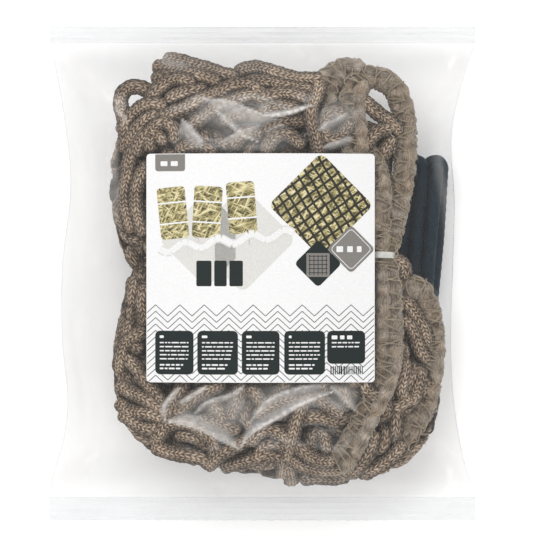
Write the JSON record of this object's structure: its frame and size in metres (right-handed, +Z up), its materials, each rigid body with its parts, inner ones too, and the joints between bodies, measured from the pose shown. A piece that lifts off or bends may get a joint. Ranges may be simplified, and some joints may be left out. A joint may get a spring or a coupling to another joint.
{
  "type": "hay net",
  "caption": "Knotless hay net folded with its black suspension rope and cable tie in a clear heat-sealed bag with a square label.",
  "frame": {"origin": "middle of the flat underside that the bag rests on", "axes": "+Y towards the top seal, +Z up through the label, X across the bag"},
  "size_m": [0.25, 0.29, 0.0724],
  "materials": {
    "film": "clear glossy film",
    "label": "smooth coated paper, printed",
    "netting": "knitted brown cord",
    "seam": "netting edges bound together",
    "thread": "fine sewing thread",
    "rope": "black braided rope",
    "tie": "milky clear nylon"
  },
  "bodies": {
    "bag": {"bag_film": "film", "label": "label", "net_panel_front": "netting", "net_panel_back": "netting", "side_seam_upper": "seam", "side_seam_right": "seam", "seam_thread_upper": "thread", "seam_thread_right": "thread", "suspension_rope": "rope", "cable_tie_strap": "tie", "cable_tie_head": "tie"},
    "top_seal": {"bag_top_seal": "film"},
    "bottom_seal": {"bag_bottom_seal": "film"}
  },
  "joints": [
    {"name": "top_seal_bend", "type": "hinge", "parent": "bag", "child": "top_seal", "pos_m": [0, 0.135, 0.028], "axis": [1, 0, 0], "range_deg": [-80, 80], "stiffness_Nm_per_rad": 0.01},
    {"name": "bottom_seal_bend", "type": "hinge", "parent": "bag", "child": "bottom_seal", "pos_m": [0, -0.1309, 0.028], "axis": [1, 0, 0], "range_deg": [-80, 80], "stiffness_Nm_per_rad": 0.01}
  ]
}
